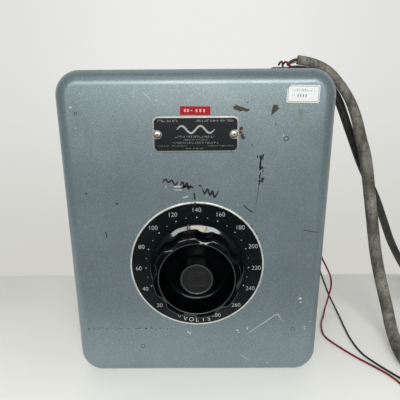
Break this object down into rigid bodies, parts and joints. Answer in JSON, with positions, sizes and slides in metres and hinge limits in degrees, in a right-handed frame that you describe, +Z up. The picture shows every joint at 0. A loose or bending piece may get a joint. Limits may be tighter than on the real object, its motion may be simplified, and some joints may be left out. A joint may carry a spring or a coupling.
{
  "type": "variable autotransformer",
  "caption": "Variable autotransformer in a drawn steel case, with a large dial and knob on the front, a brush that sweeps a toroidal coil inside, and cables out of the top.",
  "frame": {"origin": "middle of the flat underside of the case", "axes": "+Z up, -Y out of the front panel with the dial, +X to the right as seen from the front"},
  "size_m": [0.7268, 0.3439, 0.4289],
  "materials": {
    "case_paint": "blue-grey metallic hammer enamel, satin, worn",
    "black_enamel": "black enamel on aluminium, satin",
    "phenolic": "glossy black moulded phenolic",
    "bright_rivet": "bare, slightly dulled",
    "red_tape": "embossed vinyl tape",
    "label_paper": "coated white paper",
    "plated_steel": "zinc plated",
    "bare_steel": "ground",
    "brass": "turned",
    "cast_aluminium": "as cast and machined",
    "core_steel": "varnished wound strip",
    "copper_wire": "enamelled copper wire, bared on the brush track",
    "insulation_board": "laminated phenolic board",
    "carbon": "pressed carbon",
    "stop_rubber": "moulded",
    "grey_jacket": "worn grey cord jacket",
    "black_jacket": "black cord jacket",
    "red_insulation": "red wire insulation",
    "white_insulation": "off-white wire insulation"
  },
  "bodies": {
    "root": {"front_cover": "case_paint", "back_pan": "case_paint", "dial_plate": "black_enamel", "nameplate": "black_enamel", "nameplate_rivet_left": "bright_rivet", "nameplate_rivet_right": "bright_rivet", "tape_label": "red_tape", "asset_sticker": "label_paper", "cover_screw_1": "plated_steel", "cover_screw_2": "plated_steel", "cover_screw_3": "plated_steel", "cover_screw_4": "plated_steel", "clamp_bolt_1": "plated_steel", "clamp_bolt_2": "plated_steel", "clamp_bolt_3": "plated_steel", "base_screw_1": "plated_steel", "base_screw_2": "plated_steel", "base_screw_3": "plated_steel", "terminal_bracket": "plated_steel", "red_lug": "plated_steel", "black_lug": "plated_steel", "contact_finger": "brass", "front_bearing": "brass", "rear_bearing": "brass", "terminal_screw_1": "brass", "terminal_screw_2": "brass", "terminal_screw_3": "brass", "front_clamp": "cast_aluminium", "base_casting": "cast_aluminium", "core": "core_steel", "winding": "copper_wire", "front_insulator": "insulation_board", "rear_insulator": "insulation_board", "terminal_board": "insulation_board", "stop_block": "stop_rubber", "cable_bushing": "stop_rubber", "supply_cable": "grey_jacket", "supply_coil": "grey_jacket", "load_cable": "black_jacket", "load_coil": "black_jacket", "supply_plug": "black_jacket", "load_connector": "black_jacket", "black_lead": "black_jacket", "conductor_black": "black_jacket", "red_lead": "red_insulation", "lead_brush": "red_insulation", "conductor_white": "white_insulation", "lead_line": "white_insulation", "lead_common": "white_insulation"},
    "rotor": {"knob": "phenolic", "knob_hub": "brass", "knob_set_screw": "bare_steel", "shaft": "bare_steel", "shaft_collar": "plated_steel", "brush_radiator": "cast_aluminium", "brush_holder": "brass", "slip_ring": "brass", "brush_spring": "bare_steel"},
    "brush": {"carbon_brush": "carbon"}
  },
  "joints": [
    {"name": "dial_turn", "type": "hinge", "parent": "root", "child": "rotor", "pos_m": [0, -0.105, 0.1634], "axis": [0, 1, 0], "range_deg": [-151, 171]},
    {"name": "brush_slide", "type": "slide", "parent": "rotor", "child": "brush", "axis": [0, -1, 0], "range_m": [0, 0.003], "stiffness_N_per_m": 150, "springref_m": -0.01, "deforming": ["brush_spring"]}
  ]
}
